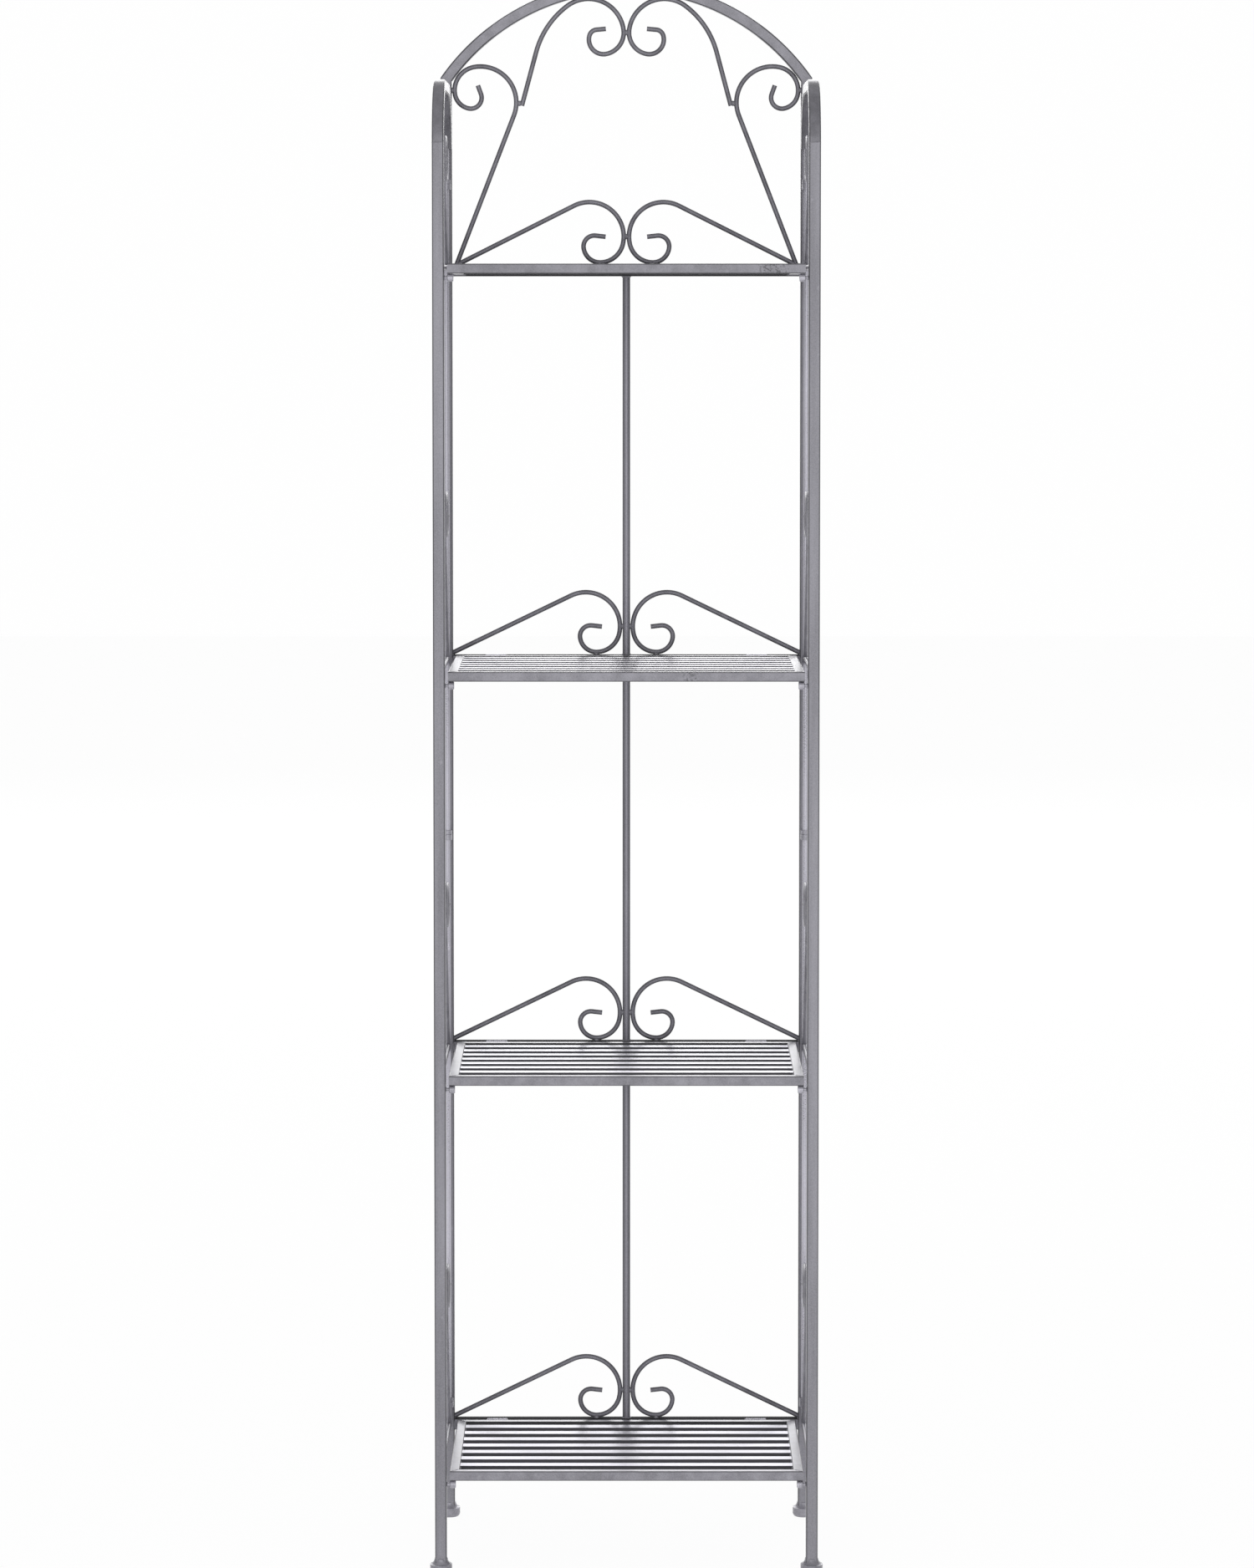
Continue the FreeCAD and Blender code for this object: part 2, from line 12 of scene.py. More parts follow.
import bpy
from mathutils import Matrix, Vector

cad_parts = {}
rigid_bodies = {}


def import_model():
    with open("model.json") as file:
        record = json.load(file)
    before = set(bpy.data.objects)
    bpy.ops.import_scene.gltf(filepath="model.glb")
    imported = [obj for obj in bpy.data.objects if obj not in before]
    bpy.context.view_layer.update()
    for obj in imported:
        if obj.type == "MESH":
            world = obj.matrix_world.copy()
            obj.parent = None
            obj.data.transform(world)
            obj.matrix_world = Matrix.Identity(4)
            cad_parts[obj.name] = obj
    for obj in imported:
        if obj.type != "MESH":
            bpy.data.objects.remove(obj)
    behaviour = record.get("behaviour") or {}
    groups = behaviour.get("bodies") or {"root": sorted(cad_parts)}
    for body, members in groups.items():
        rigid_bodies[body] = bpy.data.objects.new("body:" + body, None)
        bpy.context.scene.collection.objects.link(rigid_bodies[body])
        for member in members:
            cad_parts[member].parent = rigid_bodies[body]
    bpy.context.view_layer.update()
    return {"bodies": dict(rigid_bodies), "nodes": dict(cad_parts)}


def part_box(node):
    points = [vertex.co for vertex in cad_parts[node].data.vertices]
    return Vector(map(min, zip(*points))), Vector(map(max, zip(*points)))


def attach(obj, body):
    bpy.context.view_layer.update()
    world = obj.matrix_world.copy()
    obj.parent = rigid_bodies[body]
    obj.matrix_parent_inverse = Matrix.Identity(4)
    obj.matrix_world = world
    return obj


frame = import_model()

# %% [markdown]
# ## Nodes written as Python
# A shader or a geometry tree is a graph, and clicking one together can't be repeated. Two small classes let
# us write it as a program. A `Wire` is a node's output. Sums on it add Math nodes, so `1 - mask` is a node
# too. A `Graph` adds every other kind of node with one method.

# %% Wire and Graph
class Wire:
    """One output of a node. Python's arithmetic on it adds Math nodes."""

    def __init__(self, graph, socket):
        self.graph, self.socket = graph, socket

    def __getitem__(self, name):
        return Wire(self.graph, self.socket.node.outputs[name])

    def math(self, operation, *terms):
        return self.graph.node("ShaderNodeMath", {"operation": operation}, dict(enumerate(terms)))

    def __add__(self, other):
        return self.math("ADD", self, other)

    def __radd__(self, other):
        return self.math("ADD", other, self)

    def __sub__(self, other):
        return self.math("SUBTRACT", self, other)

    def __rsub__(self, other):
        return self.math("SUBTRACT", other, self)

    def __mul__(self, other):
        return self.math("MULTIPLY", self, other)

    def __rmul__(self, other):
        return self.math("MULTIPLY", other, self)

    def clamped(self):
        return self.graph.node("ShaderNodeClamp", {}, {"Value": self})


class Graph:
    """A node tree, written node by node."""

    def __init__(self, tree):
        self.tree = tree
        tree.nodes.clear()

    def node(self, kind, settings=None, inputs=None):
        """Adds a node of any kind: first its settings, then the values or wires of its sockets."""
        node = self.tree.nodes.new(kind)
        for name, value in (settings or {}).items():
            setattr(node, name, value)
        for name, value in (inputs or {}).items():
            if isinstance(value, Wire):
                self.tree.links.new(value.socket, node.inputs[name])
            else:
                node.inputs[name].default_value = value
        return Wire(self, node.outputs[0]) if node.outputs else None


print("a Graph adds nodes, and a Wire adds them up")

# %% [markdown]
# ## The paint
# The real finish is a satin silver-grey powder paint. Close up it isn't even: the tone drifts along each
# tube in soft streaks from the drawing of the steel, and a fine speckle lies over it. On top come four more
# layers: light scuffs, painted shade along the square tubes' rounded corners, grainy rub marks, and painted
# shade in the narrow places where shade falls and on the rods' sides, where the paint also turns rough and
# matt. It could be painted on textures, but one recipe of noise on Object coordinates needs no UV map and
# fits every tube.
#
# ### Where it shows
# Each layer has a mask, from noise or from the way that the surface faces. Noise is stretched along a tube
# by squeezing that axis.

# %% Noise and masks
even = (1, 1, 1)
# Where the masks start to rise, and how steeply. A rub mark is whole in the inner half of its reach
scuff_level, scuff_slope, rub_level, rub_slope, rub_core, corner_slope = 0.66, 18, 0.5, 9, 2, 8
rub_scale = 500


def streaks(graph, place, grain, scale, detail=4.0):
    """Noise drawn out along a tube: grain is how much each axis counts."""
    drawn = graph.node("ShaderNodeMapping", {}, {"Vector": place, "Scale": grain})
    noise = graph.node("ShaderNodeTexNoise", {}, {
        "Vector": drawn, "Scale": scale, "Detail": detail, "Roughness": 0.6})
    return noise["Fac"]


def rises(value, level, slope):
    """A mask that is 0 up to a level and rises to 1 from there."""
    return ((value - level) * slope).clamped()


def facing(graph, axis):
    """How far the surface faces along an axis, from -1 to 1."""
    normal = graph.node("ShaderNodeTexCoord")["Normal"]
    return graph.node("ShaderNodeSeparateXYZ", {}, {"Vector": normal})[axis]


# The rounded corners are painted darker, as painted shade along each edge of a square tube
def rounded_corner(graph, across):
    """1 on a square tube's rounded corners and 0 on its flats. across is the axis of a flat's normal."""
    square = facing(graph, across) * facing(graph, across)
    return (corner_slope * square * (1 - square)).clamped()


def rub_mark(graph, place, centre, reach):
    """Grainy rub marks within reach of a centre."""
    away = graph.node("ShaderNodeVectorMath", {"operation": "DISTANCE"}, {0: place, 1: centre})["Value"]
    near = ((1 - away * (1 / reach)).clamped() * rub_core).clamped()
    return near * rises(streaks(graph, place, even, rub_scale, 3), rub_level, rub_slope)


print("masks show where the paint is scuffed or rubbed")

# %% [markdown]
# ### Its tones
# Every tone is a share of one middle tone, so that a darker or a lighter paint keeps the same character.
# Colours go through Mix nodes, because a Math node would turn them grey.

# %% Tones and layers
grey = (0.265, 0.26, 0.292)
# The layers on top: the share of the middle tone that each leads to, and how far it goes there
# The corner layer and the last one are painted shade: dark on the rounded corners and in the narrow places
layers = {"scuff": (1.7, 0.4), "corner": (0.25, 0.8), "rub": (0.15, 0.7), "thin": (0.08, 0.94)}


def tones(graph, factor, low, high):
    """A colour between two tones. A Mix node's sockets share their names, so they go by number here."""
    mix = graph.node("ShaderNodeMix", {"data_type": "RGBA", "clamp_factor": True},
                     {0: factor, 6: low, 7: high})
    return mix[2]


def shade_of(tone, share):
    """A share of a tone, as a colour that a socket takes."""
    return tuple(min(1, share * part) for part in tone) + (1,)


def laid_over(graph, colour, tone, layer, mask):
    """The colour with one more layer, where the layer's mask is 1."""
    share, strength = layers[layer]
    return tones(graph, strength * mask, colour, shade_of(tone, share))


print("the middle tone is", grey, "and the layers are", ", ".join(layers))

# %% [markdown]
# ### One recipe for all paints
# The streaks and the speckle move the tone and the roughness together, as they do on real paint, while broad
# clouds move the tone alone. A thin clear coat over it gives the satin edge of light along a tube.

# %% The paint recipe
# Noise scales, from broad clouds to fine speckle
cloud_scale, scuff_scale, streak_scale, speckle_scale = 11, 45, 70, 1100
# How far they move the tone, between its darkest and its lightest share, and then the roughness
cloud_share, streak_share, speckle_share = 0.9, 1.8, 0.9
darkest, lightest = 0.7, 1.32
streak_rough, speckle_rough, shade_rough = 0.25, 0.12, 0.4
# The bump: its height in metres, and the streaks' share beside the speckle
grain_height, streak_relief = 0.0002, 0.6


def paint(name, tone, grain=even, across=None, thin=None, worn=(),
          roughness=0.36, metallic=0.35, coat=0.3, coat_roughness=0.22, relief=0.4, specular=0.5):
    """A satin metal paint.

    tone is its middle colour, grain its streaks' direction and across the axis of a square tube's flats,
    whose
    rounded corners get painted shade. The fifth argument is a mask function that gives 1 where shade is
    painted:
    dark, rough and matt. worn lists the centre and the reach of its rub marks, and relief is how strongly its
    grain stands up.
    """
    material = bpy.data.materials.new(name)
    material.use_nodes = True
    graph = Graph(material.node_tree)
    place = graph.node("ShaderNodeTexCoord")["Object"]
    streak = streaks(graph, place, grain, streak_scale)
    cloud = streaks(graph, place, grain, cloud_scale, 2)
    speckle = graph.node("ShaderNodeTexNoise", {}, {
        "Vector": place, "Scale": speckle_scale, "Detail": 1})["Fac"]
    shade = (0.5 + streak_share * (streak - 0.5) + cloud_share * (cloud - 0.5)
             + speckle_share * (speckle - 0.5))
    colour = tones(graph, shade, shade_of(tone, darkest), shade_of(tone, lightest))
    rough = roughness + streak_rough * (streak - 0.5) + speckle_rough * (speckle - 0.5)
    scuff = rises(streaks(graph, place, even, scuff_scale, 6), scuff_level, scuff_slope)
    colour = laid_over(graph, colour, tone, "scuff", scuff)
    # Painted shade along the square tubes' rounded corners
    if across:
        colour = laid_over(graph, colour, tone, "corner", rounded_corner(graph, across))
    for centre, reach in worn:
        colour = laid_over(graph, colour, tone, "rub", rub_mark(graph, place, centre, reach))
    # Painted shade: where the mask is 1 the colour goes almost black, and the paint turns rough and matt
    if thin:
        painted_shade = thin(graph)
        colour = laid_over(graph, colour, tone, "thin", painted_shade)
        rough = rough + shade_rough * painted_shade
        metallic = metallic * (1 - painted_shade)
        coat = coat * (1 - painted_shade)
    bump = graph.node("ShaderNodeBump", {}, {
        "Strength": relief, "Distance": grain_height, "Height": speckle + streak_relief * streak})
    shader = graph.node("ShaderNodeBsdfPrincipled", {}, {
        "Base Color": colour, "Metallic": metallic, "Roughness": rough, "Normal": bump,
        "Specular IOR Level": specular, "Coat Weight": coat, "Coat Roughness": coat_roughness})
    graph.node("ShaderNodeOutputMaterial", {}, {"Surface": shader})
    return material


print("the paint recipe is ready")

# %% [markdown]
# ## Painted shade
# Shade is painted into the colour where it falls, and those places are painted almost black: the narrow gaps
# between the slats, the inner faces of a shelf's rails, and the crack between a shelf and the crossbar behind
# it.
# The rods of the back panel are painted darker towards their sides. Each place is a mask from the surface's
# direction, and a position where that isn't enough.

# %% Masks for painted shade
# How steeply the masks rise, and the level where a face counts as facing up or forward
slat_slope, rail_slope, face_level, face_slope = 6, 40, 0.5, 4
rod_side_share = 0.75
# The part of a crossbar's front that the shelf covers: its half width in metres, how sharply it ends, and
# how much shade is painted there
covered_half_width, covered_slope, covered_share = 0.172, 400, 0.9


def position(graph, axis):
    """Where on an axis the surface is, in metres."""
    place = graph.node("ShaderNodeTexCoord")["Object"]
    return graph.node("ShaderNodeSeparateXYZ", {}, {"Vector": place})[axis]


def slat_sides(graph):
    """1 on a slat's narrow sides, in the gaps of a shelf, where shade is painted."""
    flat = facing(graph, "Z")
    return ((1 - flat * flat) * slat_slope).clamped()


def rail_insides(graph):
    """1 on the faces of a shelf's front and rear rails that look into the shelf, where shade is painted."""
    return (-rail_slope * position(graph, "Y") * facing(graph, "Y")).clamped()


def rod_sides(graph):
    """Painted shade that rises towards a rod's sides."""
    front = facing(graph, "Y")
    side = 1 - front * front
    return rod_side_share * side.math("SQRT", side.clamped())


def crossbar_hidden(graph):
    """1 on a crossbar's top, in the crack behind a shelf, and less on the face that the shelf covers: painted
    shade.
    """
    x = position(graph, "X")
    from_middle = x.math("ABSOLUTE", x)
    covered = ((covered_half_width - from_middle) * covered_slope).clamped()
    top = rises(facing(graph, "Z"), face_level, face_slope)
    front = rises(-1 * facing(graph, "Y"), face_level, face_slope)
    return (top + covered_share * front * covered).clamped()


# The four masks carry painted shade
print("four masks say where the paint is thin")

# %% [markdown]
# ## Which paint goes where
# A node's paint depends on how its tube runs. Uprights are streaked along Z, crossbars and slats along X, and
# the side frames' rods along Y. A shelf frame has rails both ways, so its grain is even, as on the bent
# arches and the scrolls. Some pieces get a tone of their own, which is painted light or shade. The arches
# over the sides are painted darker, as painted shade on their upward bend, and meet their uprights at a
# visible seam. The slats are painted lighter, as painted light on their tops, and more coated, so that they
# mirror the white studio in bright stripes. The hinge rods, knuckles and pegs are more metallic and painted
# bright, as painted highlights.

# %% The paints
up, along_x, along_y = (1, 1, 0.06), (0.06, 1, 1), (1, 0.06, 1)
# The two clearest rub marks, on the front rails of the upper shelves: a centre and a reach in metres
rub_marks = [((0.149, -0.125, 1.342), 0.02), ((0.066, -0.125, 0.9275), 0.01)]


def greyed(share):
    """The middle grey made darker or lighter by a share."""
    return tuple(share * part for part in grey)


paints = {
    "upright": paint("frame_paint_upright", grey, up, "X"),
    "crossbar": paint("frame_paint_crossbar", grey, along_x, "Y", crossbar_hidden, specular=0.15),
    "arch": paint("frame_paint_arch", grey, even, "Y"),
    # The side arches are painted darker, as painted shade on their upward bend
    "top_arch": paint("frame_paint_side_arch", greyed(0.72), even, "X"),
    # The centre rods and back scrolls get painted shade on their sides, and the centre rods are painted
    # lighter too, so a painted highlight runs down their middle
    "rod": paint("rod_paint_upright", greyed(1.2), up, None, rod_sides, coat=0.1, specular=0.05),
    "crossbars": paint("rod_paint_side", grey, along_y, coat=0.1),
    "scroll": paint("scroll_paint", grey, even, None, rod_sides, coat=0.1, specular=0.05),
    "side_scroll": paint("scroll_paint_side", grey, even, coat=0.1),
    "frame": paint("shelf_paint_frame", grey, even, "Z", rail_insides, rub_marks, coat=0.25, relief=0.12),
    # The slats are painted lighter, as painted light on their tops, and get painted shade on their sides
    "slats": paint("shelf_paint_slats", greyed(1.9), along_x, None, slat_sides,
                   metallic=0.5, coat=0.5, coat_roughness=0.4, relief=0.06, specular=0.25),
    "hinge": paint("hinge_paint", greyed(1.3), even, roughness=0.3, metallic=0.75),
    # The knuckles, hinge rods and pegs are painted bright, as painted highlights
    "knuckle": paint("hinge_paint_highlight", greyed(2.4), even, roughness=0.3, metallic=0.8),
    "hinge_rod": paint("hinge_paint_rod", greyed(1.9), up, roughness=0.3, metallic=0.6),
    "peg": paint("hinge_paint_peg", greyed(1.7), even, roughness=0.3, metallic=0.6),
    "foot": paint("foot_paint", grey, even),
    # The back feet are painted lighter, as painted light on their tops
    "back_foot": paint("foot_paint_back", greyed(1.25), even),
    "weld": paint("weld_paint", greyed(0.85), even, roughness=0.42)}
print(len(paints), "paints:", ", ".join(paints))

# %% [markdown]
# ### From names to paints
# The CAD nodes have plain names, so a word in the name is enough to choose. The order counts, because
# `left_scrolls` also holds the word `scrolls`. The CAD model's own slots are emptied first.

# %% Paint the CAD nodes
kind_of = {
    "back_arch": "arch", "top_arch": "top_arch", "front_upright": "upright", "back_upright": "upright",
    "back_crossbar": "crossbar", "crossbars": "crossbars", "centre_rod": "rod",
    "left_scrolls": "side_scroll", "right_scrolls": "side_scroll", "scrolls": "scroll", "curls": "scroll",
    "_frame": "frame", "slats": "slats", "hinge_rod": "hinge_rod", "pegs": "peg", "end_plug": "hinge",
    "side_hinge_eyes": "hinge", "hinge_collars": "hinge", "crossbar_hinge": "knuckle",
    "shelf_hinge_pins": "knuckle", "hinge_knuckles": "knuckle", "back_foot": "back_foot", "foot": "foot",
    "weld_beads": "weld"}


def paint_for(node):
    """The paint of a node, by the first word of kind_of that its name holds."""
    return next(paints[kind] for word, kind in kind_of.items() if word in node)


for node, obj in frame["nodes"].items():
    obj.data.materials.clear()
    obj.data.materials.append(paint_for(node))
print("painted", len(frame["nodes"]), "nodes")

# %% [markdown]
# ## Weld beads
# Every joint of the real rack is a small weld under the paint: a lumpy bead along each corner between two
# tubes, a ring of beads round the end of a rod, and a dot at each edge of a slat. They repeat hundreds of
# times, so Geometry Nodes make them. Python only says where: a cloud of points, each with the bead's
# direction and size. The larger beads, which join the scrolls, are CAD solids already.

# %% The bead tree
bead_seed, bead_lumps, bead_unevenness = 7, 0.22, 0.2
lump_scale, lump_swell = 1.7, 4


def bead_tree():
    """Geometry Nodes that put a lumpy bead on each point, turned along `run` and sized by `girth`.

    Random Value has a set of sockets for each data type. Its float ones are 2, 3 and output 1.
    """
    tree = bpy.data.node_groups.new("Weld beads", "GeometryNodeTree")
    for name, kind, value in (
            ("Points", "NodeSocketGeometry", None), ("Lumps", "NodeSocketFloat", bead_lumps),
            ("Uneven", "NodeSocketFloat", bead_unevenness), ("Seed", "NodeSocketInt", bead_seed),
            ("Paint", "NodeSocketMaterial", None)):
        socket = tree.interface.new_socket(name, in_out="INPUT", socket_type=kind)
        if value is not None:
            socket.default_value = value
    tree.interface.new_socket("Beads", in_out="OUTPUT", socket_type="NodeSocketGeometry")
    graph = Graph(tree)
    given = graph.node("NodeGroupInput")
    ball = graph.node("GeometryNodeMeshIcoSphere", {}, {"Radius": 1.0, "Subdivisions": 2})
    lump = graph.node("ShaderNodeTexNoise", {}, {"Scale": lump_scale, "Detail": 1.0})["Fac"] - 0.5
    swell = graph.node("ShaderNodeVectorMath", {"operation": "SCALE"}, {
        "Vector": graph.node("GeometryNodeInputNormal"), "Scale": lump * given["Lumps"] * lump_swell})
    lumpy = graph.node("GeometryNodeSetPosition", {}, {"Geometry": ball, "Offset": swell})
    smooth = graph.node("GeometryNodeSetShadeSmooth", {}, {"Geometry": lumpy})
    run = graph.node("GeometryNodeInputNamedAttribute", {"data_type": "FLOAT_VECTOR"}, {"Name": "run"})
    girth = graph.node("GeometryNodeInputNamedAttribute", {"data_type": "FLOAT_VECTOR"}, {"Name": "girth"})
    turned = graph.node("FunctionNodeAlignRotationToVector", {"axis": "Z"}, {"Vector": run})
    spin = graph.node("FunctionNodeRandomValue", {"data_type": "FLOAT"},
                      {2: 0.0, 3: math.tau, "Seed": given["Seed"]})[1]
    twist = graph.node("FunctionNodeAxisAngleToRotation", {}, {"Axis": (0, 0, 1), "Angle": spin})
    rotation = graph.node("FunctionNodeRotateRotation", {"rotation_space": "LOCAL"}, {0: turned, 1: twist})
    change = graph.node("FunctionNodeRandomValue", {"data_type": "FLOAT"},
                        {2: -1.0, 3: 1.0, "Seed": given["Seed"]})[1]
    scale = graph.node("ShaderNodeVectorMath", {"operation": "SCALE"},
                       {"Vector": girth, "Scale": 1 + change * given["Uneven"]})
    placed = graph.node("GeometryNodeInstanceOnPoints", {}, {
        "Points": given["Points"], "Instance": smooth, "Rotation": rotation, "Scale": scale})
    real = graph.node("GeometryNodeRealizeInstances", {}, {"Geometry": placed})
    painted = graph.node("GeometryNodeSetMaterial", {}, {"Geometry": real, "Material": given["Paint"]})
    graph.node("NodeGroupOutput", {}, {"Beads": painted})
    return tree


weld_tree = bead_tree()
print("the bead tree has", len(weld_tree.nodes), "nodes")

# %% [markdown]
# ### Where the beads go
# The places are kept by body, so that each body's beads become one piece that moves with it. Three short
# functions cover every weld here: a line, a ring and a single dot. A bead is as long as its weld, and the
# beads of a ring overlap a little, as a welder's do.

# %% Lines, rings and dots of beads
ring_overlap = 1.15
beads = {body: [] for body in frame["bodies"]}


def line_bead(body, start, end, radius):
    """One long bead from start to end, such as in the corner between two tubes."""
    start, end = Vector(start), Vector(end)
    beads[body].append(((start + end) / 2, end - start, (radius, radius, (end - start).length / 2)))


def ring_of_beads(body, centre, axis, ring_radius, radius, count=10):
    """Beads that overlap in a ring round a rod's end."""
    centre, axis = Vector(centre), Vector(axis)
    side = axis.orthogonal().normalized()
    other = axis.cross(side)
    for step in range(count):
        angle = math.tau * step / count
        out = math.cos(angle) * side + math.sin(angle) * other
        half_length = ring_overlap * math.pi * ring_radius / count
        beads[body].append((centre + ring_radius * out, axis.cross(out), (radius, radius, half_length)))


def bead_at(body, centre, run, radius, length):
    """One bead about a point."""
    beads[body].append((Vector(centre), Vector(run), (radius, radius, length / 2)))


print("beads will ride on", ", ".join(beads))

# %% [markdown]
# ### Back panel welds
# Each crossbar stands between the uprights, so a bead runs along all four edges of each end, a little thicker
# on the top and the bottom than on the front and the back. The centre rods end on the crossbars in a ring.

# %% Back panel beads
shelf_numbers, centre_rod_numbers = range(1, 5), range(1, 4)
thick_seam, thin_seam, seam_inset = 0.0011, 0.0008, 0.001
rod_bead, ring_outset = 0.0011, 0.0002

for number in shelf_numbers:
    low, high = (Vector(corner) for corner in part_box("back_crossbar_%d" % number))
    for x in (low.x, high.x):
        for z in (low.z, high.z):
            line_bead("back_panel", (x, low.y + seam_inset, z), (x, high.y - seam_inset, z), thick_seam)
        for y in (low.y, high.y):
            line_bead("back_panel", (x, y, low.z + seam_inset), (x, y, high.z - seam_inset), thin_seam)
for number in centre_rod_numbers:
    low, high = (Vector(corner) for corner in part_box("back_centre_rod_%d" % number))
    middle, radius = (low + high) / 2, (high.x - low.x) / 2
    for z in (low.z, high.z):
        ring_of_beads("back_panel", (middle.x, middle.y, z), (0, 0, 1), radius + ring_outset, rod_bead)
print(len(beads["back_panel"]), "beads on the back panel")

# %% [markdown]
# ### Side frame welds
# Each crossbar of a side frame is a round rod from the front upright to the hinge rod. The pegs that carry
# the shelves stand on the upright's inner face. The bent tube over the side is butted to the upright and the
# seam is ground flat, so it shows as a thin raised line.

# %% Side frame beads
small_ring_count = 8
# A side crossbar's height above the foot of the back crossbar at its level, and the ring round its end
crossbar_rise, crossbar_ring, crossbar_bead = 0.009, 0.0031, 0.0009
# A peg's depth below it, the ring round the peg, and how far the upright's face is from its middle
peg_drop, peg_ring, peg_bead, half_tube = 0.0023, 0.0018, 0.0006, 0.006
ground_seam, ground_seam_length = 0.0003, 0.0112

for side, sign in (("left", -1), ("right", 1)):
    body = side + "_side"
    low, high = (Vector(corner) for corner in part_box(side + "_front_upright"))
    upright = (low + high) / 2
    for number in shelf_numbers:
        foot_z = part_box("back_crossbar_%d" % number)[0][2]
        ring_of_beads(body, (upright.x, high.y, foot_z + crossbar_rise), (0, 1, 0),
                      crossbar_ring, crossbar_bead, small_ring_count)
        ring_of_beads(body, (upright.x - sign * half_tube, upright.y, foot_z - peg_drop), (-sign, 0, 0),
                      peg_ring, peg_bead, small_ring_count)
    for x, y, run in ((upright.x, low.y, (1, 0, 0)), (upright.x, high.y, (1, 0, 0)),
                      (low.x, upright.y, (0, 1, 0)), (high.x, upright.y, (0, 1, 0))):
        bead_at(body, (x, y, high.z), run, ground_seam, ground_seam_length)
print(len(beads["left_side"]), "beads on each side frame")

# %% [markdown]
# ### Shelf welds
# The slats are butted between the side rails and held by a dot of weld at each edge. The frame's mitres show
# as a fine line across each corner.

# %% Shelf beads
slat_count, slat_width = 7, 0.015
dot_radius, dot_height = 0.0012, 0.0042
# A mitre's line starts and ends this far in from the shelf's corner
mitre_start, mitre_end, mitre_bead = 0.0008, 0.0098, 0.00028

for number in shelf_numbers:
    body = "shelf_%d" % number
    low, high = (Vector(corner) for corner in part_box(body + "_slats"))
    pitch = (high.y - low.y - slat_width) / (slat_count - 1)
    for x in (low.x, high.x):
        for slat in range(slat_count):
            for y in (low.y + slat * pitch, low.y + slat * pitch + slat_width):
                bead_at(body, (x, y, (low.z + high.z) / 2), (0, 0, 1), dot_radius, dot_height)
    low, high = (Vector(corner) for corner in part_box(body + "_frame"))
    for x, inward in ((low.x, 1), (high.x, -1)):
        for y, back in ((low.y, 1), (high.y, -1)):
            start, end = ((x + inward * step, y + back * step, high.z) for step in (mitre_start, mitre_end))
            line_bead(body, start, end, mitre_bead)
print(len(beads["shelf_1"]), "beads on each shelf")

# %% [markdown]
# ### Growing them
# A mesh of bare points carries each bead's direction and size as attributes, and the tree grows on it. A
# modifier's inputs go by their identifiers, so these are looked up from the tree's own names first. The
# result is read back as a plain mesh, because the exported model keeps no instances. The points and their
# modifier are then thrown away, and the welds ride on their body.

# %% Grow the beads
def grow_beads(body, places):
    """Runs the bead tree on a body's points and keeps the result as a plain mesh."""
    cloud = bpy.data.meshes.new(body + "_points")
    cloud.from_pydata([tuple(place) for place, run, girth in places], [], [])
    for name, column in (("run", 1), ("girth", 2)):
        layer = cloud.attributes.new(name, "FLOAT_VECTOR", "POINT")
        layer.data.foreach_set("vector", [part for place in places for part in place[column]])
    grower = bpy.data.objects.new(body + "_grower", cloud)
    bpy.context.scene.collection.objects.link(grower)
    modifier = grower.modifiers.new("Weld beads", "NODES")
    modifier.node_group = weld_tree
    socket = {item.name: item.identifier for item in weld_tree.interface.items_tree}
    modifier[socket["Paint"]] = paints["weld"]
    modifier[socket["Seed"]] = bead_seed
    depsgraph = bpy.context.evaluated_depsgraph_get()
    mesh = bpy.data.meshes.new_from_object(grower.evaluated_get(depsgraph), depsgraph=depsgraph)
    bpy.data.objects.remove(grower)
    welds = bpy.data.objects.new(body + "_welds", mesh)
    bpy.context.scene.collection.objects.link(welds)
    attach(welds, body)
    return welds


for body, places in beads.items():
    welds = grow_beads(body, places)
    print(welds.name, len(places), "beads", len(welds.data.polygons), "faces")

# %% [markdown]
# ## The studio
# The picture has a pure white ground. More light would wash the paint out, so the floor and the backdrop only
# look white: Light Path tells which rays come from the camera, a reflection or glass, and those see a white
# glow. All other rays see plain matt white, which keeps the shadow on the floor. The world is white to the
# camera too. It is dimmer in reflections and as light, so that the paint keeps its contrast.

# %% Floor, backdrop and world
white, matt_white = (1, 1, 1, 1), (0.9, 0.9, 0.9, 1)
floor_glow, backdrop_glow = 0.95, 0.985
floor_half, backdrop_depth, backdrop_height = 14, 13.9, 12
room_in_reflections, room_as_light = 0.5, 0.75


def seen(graph):
    """1 for the rays that show the background: the camera's, reflected and transmitted ones."""
    rays = graph.node("ShaderNodeLightPath")
    return (rays["Is Camera Ray"] + rays["Is Glossy Ray"] + rays["Is Transmission Ray"]).clamped()


def studio_white(name, glow_share):
    """Matt white that also glows for the rays in seen(), by a share of its look."""
    material = bpy.data.materials.new(name)
    material.use_nodes = True
    graph = Graph(material.node_tree)
    matt = graph.node("ShaderNodeBsdfDiffuse", {}, {"Color": matt_white})
    glow = graph.node("ShaderNodeEmission", {}, {"Color": white, "Strength": 1.0})
    both = graph.node("ShaderNodeMixShader", {}, {0: glow_share * seen(graph), 1: matt, 2: glow})
    graph.node("ShaderNodeOutputMaterial", {}, {"Surface": both})
    return material


def sheet(name, corners, material):
    """A flat sheet of the studio through four corners."""
    mesh = bpy.data.meshes.new(name)
    mesh.from_pydata(corners, [], [(0, 1, 2, 3)])
    mesh.materials.append(material)
    obj = bpy.data.objects.new(name, mesh)
    bpy.context.scene.collection.objects.link(obj)


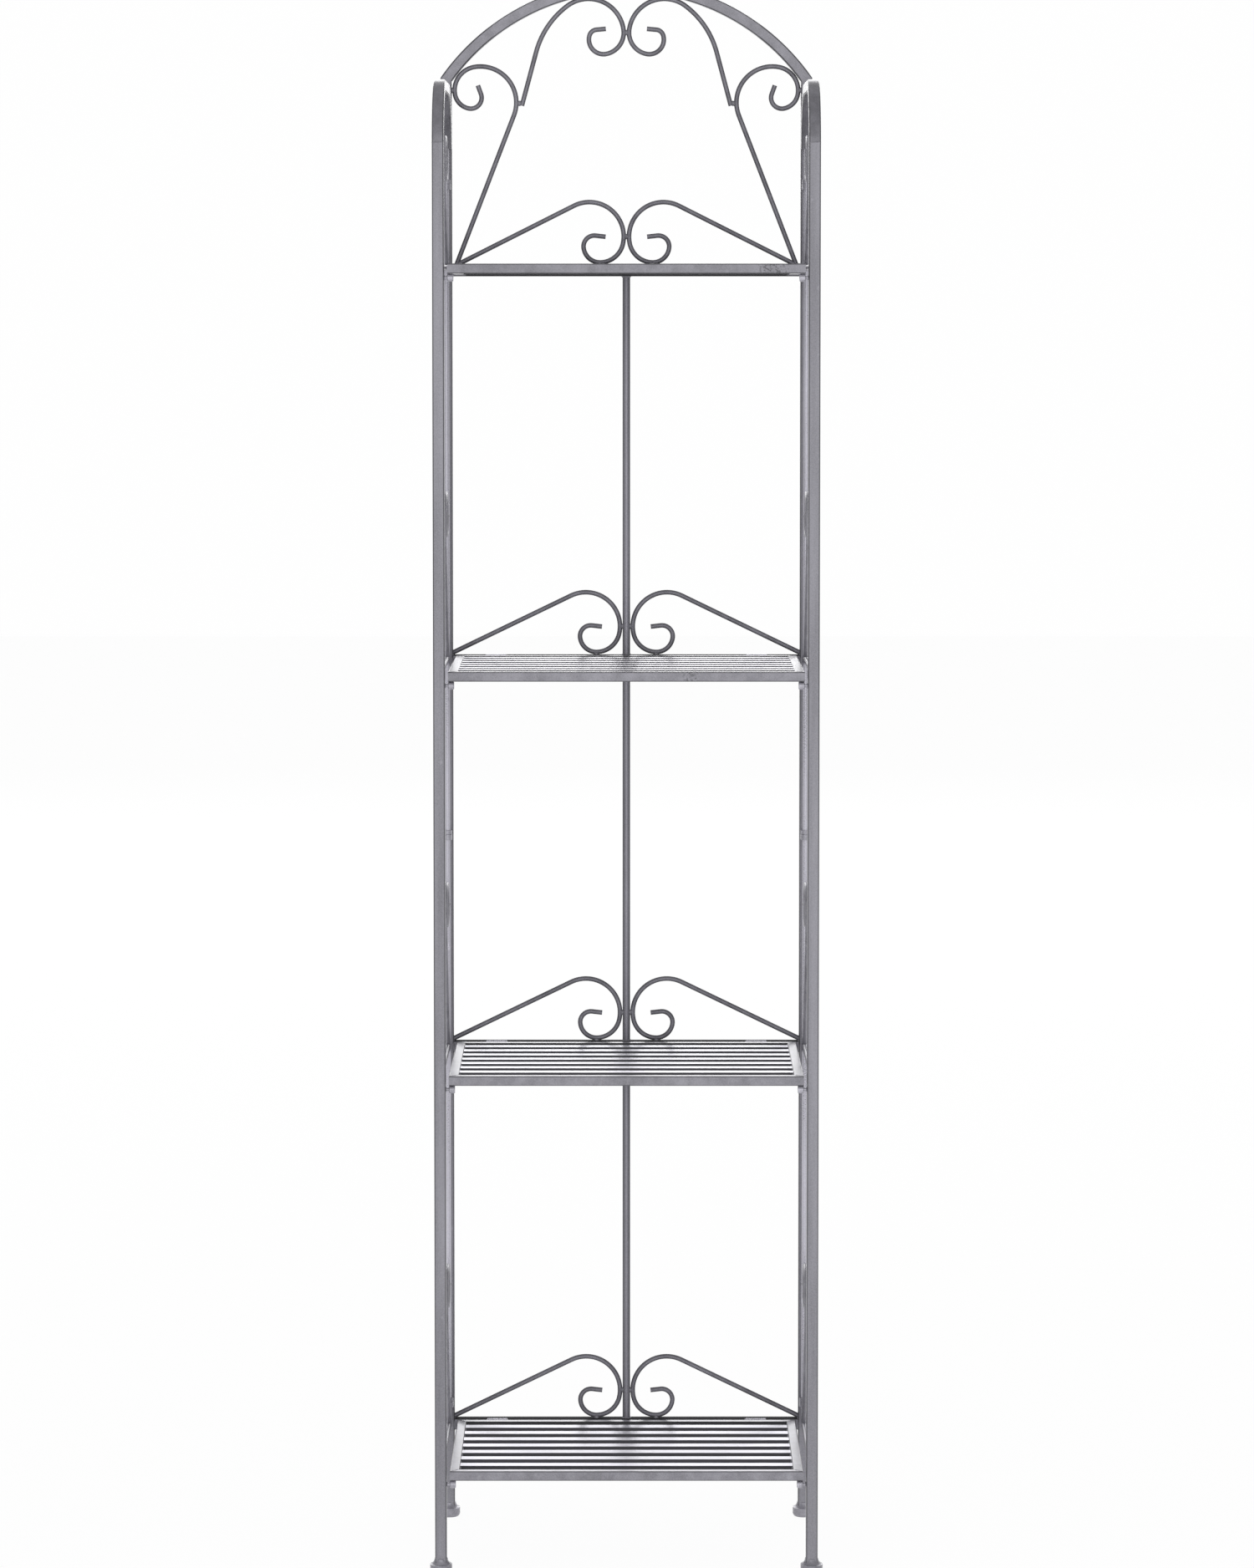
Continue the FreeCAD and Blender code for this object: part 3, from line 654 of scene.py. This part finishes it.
left, right = -floor_half, floor_half
sheet("floor", [(left, left, 0), (right, left, 0), (right, right, 0), (left, right, 0)],
      studio_white("floor_white", floor_glow))
sheet("backdrop", [(left, backdrop_depth, 0), (right, backdrop_depth, 0),
                   (right, backdrop_depth, backdrop_height), (left, backdrop_depth, backdrop_height)],
      studio_white("backdrop_white", backdrop_glow))

world = bpy.data.worlds.new("studio")
bpy.context.scene.world = world
world.use_nodes = True
graph = Graph(world.node_tree)
rays = graph.node("ShaderNodeLightPath")
room = (rays["Is Camera Ray"] + rays["Is Transmission Ray"]
        + room_in_reflections * rays["Is Glossy Ray"] + room_as_light * rays["Is Diffuse Ray"])
sky = graph.node("ShaderNodeBackground", {}, {"Color": white, "Strength": room})
graph.node("ShaderNodeOutputWorld", {}, {"Surface": sky})
print("the floor, the backdrop and the world are white to the camera")

# %% [markdown]
# ### Two softboxes
# A low, wide box behind the camera lights the front evenly. A stronger one, high behind the rack, does what
# the photograph shows most clearly: it puts the white stripes on the slats and the light on the side rails.

# %% Lamps
def softbox(name, place, aim, width, height, radiance):
    """An area lamp that looks from place to aim, as bright as its radiance and unseen by the camera."""
    lamp = bpy.data.lights.new(name, "AREA")
    lamp.shape, lamp.size, lamp.size_y = "RECTANGLE", width, height
    lamp.energy = radiance * math.pi * width * height
    obj = bpy.data.objects.new(name, lamp)
    obj.location = place
    obj.rotation_euler = (Vector(aim) - Vector(place)).to_track_quat("-Z", "Y").to_euler()
    obj.visible_camera = False
    bpy.context.scene.collection.objects.link(obj)


softbox("front_box", place=(0, -6.4, 1.5), aim=(0, 0, 1.2), width=5.0, height=3.6, radiance=1.0)
softbox("rear_box", place=(0, 7.0, 3.6), aim=(0, 0, 0.6), width=7.0, height=4.0, radiance=2.2)
print("two softboxes light the front and the tops")

# %% [markdown]
# ## The camera
# The photograph is level, so its uprights stay parallel, and it looks at the rack from about 5.1 m with the
# eye at about 1.3 m. A part of the framing is lens shift, and the rest a slight tilt, because a larger shift
# would push the rack out of the frame in the views from other sides. The numbers come from a fit to the
# shelves, the uprights, the arch and the feet.

# %% Camera
distance, eye_height, tilt_down = 5.135, 1.315, 3.575

camera = bpy.data.cameras.new("photo_camera")
camera.lens, camera.sensor_width = 113.21, 36.0
camera.shift_x, camera.shift_y = 0.0004, -0.115
photo_camera = bpy.data.objects.new("photo_camera", camera)
photo_camera.location = (0, -distance, eye_height)
photo_camera.rotation_euler = (math.radians(90 - tilt_down), 0, 0)
bpy.context.scene.collection.objects.link(photo_camera)
bpy.context.scene.camera = photo_camera
bpy.context.scene.view_settings.view_transform = "Standard"
print("camera at", tuple(round(part, 3) for part in photo_camera.location))
